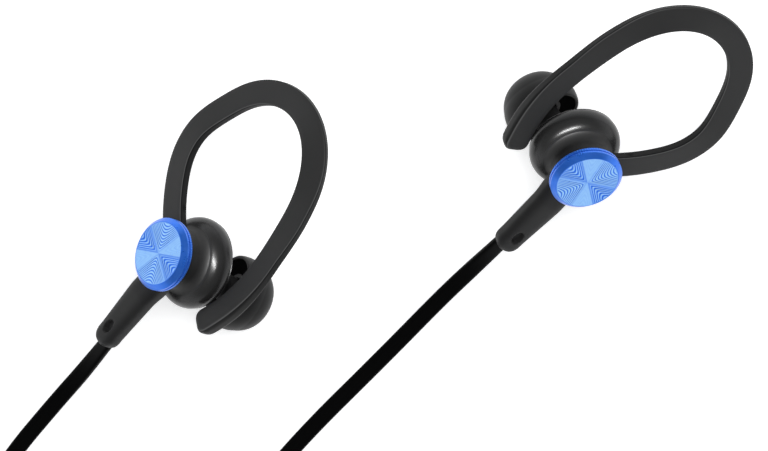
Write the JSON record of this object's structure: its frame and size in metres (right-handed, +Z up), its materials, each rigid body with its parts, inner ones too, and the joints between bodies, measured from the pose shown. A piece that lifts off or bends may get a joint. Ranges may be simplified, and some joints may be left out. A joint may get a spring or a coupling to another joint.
{
  "type": "neckband earphones",
  "caption": "Wired-together sport earpieces with ear hooks and machined cap discs, joined behind the neck by a flat cable with an inline control box.",
  "frame": {"origin": "on the surface that the earphones lie on, under the middle of the box round the two earpieces and the control box (the free cable left out)", "axes": "+Z up from the surface, +X from the left earpiece towards the right one, +Y from the control box towards the earpieces"},
  "size_m": [0.136, 0.1425, 0.0262],
  "materials": {
    "blue_aluminium": "machined and blue anodised, satin",
    "black_shell": "satin black moulding",
    "steel_mesh": "fine woven mesh",
    "driver_plastic": "plain moulded",
    "driver_steel": "plated sheet",
    "magnet_plating": "nickel plated",
    "copper_wire": "enamelled copper winding",
    "diaphragm_film": "thin film",
    "silicone": "matt silicone",
    "hook_rubber": "matt soft-touch",
    "soft_stem": "matt soft-touch",
    "lead_insulation": "enamel",
    "control_plastic": "fine spark texture",
    "cable_rubber": "smooth satin",
    "board": "solder mask",
    "battery_foil": "foil pouch",
    "clear_pipe": "translucent",
    "tie_rubber": "matt",
    "key_rubber": "matt"
  },
  "bodies": {
    "earphones": {"left_cap": "blue_aluminium", "left_rear_shell": "black_shell", "left_front_shell": "black_shell", "left_nozzle_mesh": "steel_mesh", "left_driver_frame": "driver_plastic", "left_driver_yoke": "driver_steel", "left_driver_magnet": "magnet_plating", "left_voice_coil": "copper_wire", "left_diaphragm": "diaphragm_film", "left_hook_root": "hook_rubber", "left_stem": "soft_stem", "left_lead_wires": "lead_insulation", "right_cap": "blue_aluminium", "right_rear_shell": "black_shell", "right_front_shell": "black_shell", "right_nozzle_mesh": "steel_mesh", "right_driver_frame": "driver_plastic", "right_driver_yoke": "driver_steel", "right_driver_magnet": "magnet_plating", "right_voice_coil": "copper_wire", "right_diaphragm": "diaphragm_film", "right_hook_root": "hook_rubber", "right_stem": "soft_stem", "right_lead_wires": "lead_insulation", "control_top_shell": "control_plastic", "control_bottom_shell": "control_plastic", "left_cable_boot": "cable_rubber", "right_cable_boot": "cable_rubber", "circuit_board": "board", "battery": "battery_foil", "charging_socket": "driver_steel", "tact_switches": "driver_plastic", "light_pipe": "clear_pipe", "microphone": "driver_steel", "left_cord": "cable_rubber", "right_cord": "cable_rubber", "right_cord_tail": "cable_rubber", "cord_coil": "cable_rubber", "cord_tie": "tie_rubber"},
    "left_eartip": {"left_eartip": "silicone"},
    "left_hook": {"left_hook_arm": "hook_rubber"},
    "right_eartip": {"right_eartip": "silicone"},
    "right_hook": {"right_hook_arm": "hook_rubber"},
    "minus_button": {"minus_button": "key_rubber"},
    "main_button": {"main_button": "key_rubber"},
    "plus_button": {"plus_button": "key_rubber"},
    "port_cover": {"charging_port_cover": "key_rubber"}
  },
  "joints": [
    {"name": "left_eartip_pull", "type": "slide", "parent": "earphones", "child": "left_eartip", "axis": [0.7969, -0.4012, -0.4518], "range_m": [0, 0.008]},
    {"name": "left_hook_flex", "type": "hinge", "parent": "earphones", "child": "left_hook", "pos_m": [-0.04106, 0.03755, 0.01032], "axis": [-0.7248, -0.1666, -0.6685], "range_deg": [-5, 20], "stiffness_Nm_per_rad": 0.03},
    {"name": "right_eartip_pull", "type": "slide", "parent": "earphones", "child": "right_eartip", "axis": [-0.4558, 0.7669, -0.4518], "range_m": [0, 0.008]},
    {"name": "right_hook_flex", "type": "hinge", "parent": "earphones", "child": "right_hook", "pos_m": [0.03454, 0.04523, 0.01032], "axis": [0.1156, 0.7346, 0.6685], "range_deg": [-5, 20], "stiffness_Nm_per_rad": 0.03},
    {"name": "minus_button_press", "type": "slide", "parent": "earphones", "child": "minus_button", "axis": [0, 0, -1], "range_m": [0, 0.0003], "stiffness_N_per_m": 1500},
    {"name": "main_button_press", "type": "slide", "parent": "earphones", "child": "main_button", "axis": [0, 0, -1], "range_m": [0, 0.0003], "stiffness_N_per_m": 1500},
    {"name": "plus_button_press", "type": "slide", "parent": "earphones", "child": "plus_button", "axis": [0, 0, -1], "range_m": [0, 0.0003], "stiffness_N_per_m": 1500},
    {"name": "port_cover_open", "type": "hinge", "parent": "earphones", "child": "port_cover", "pos_m": [-0.0133, -0.07055, 0.0048], "axis": [-1, 0, 0], "range_deg": [0, 95]}
  ]
}
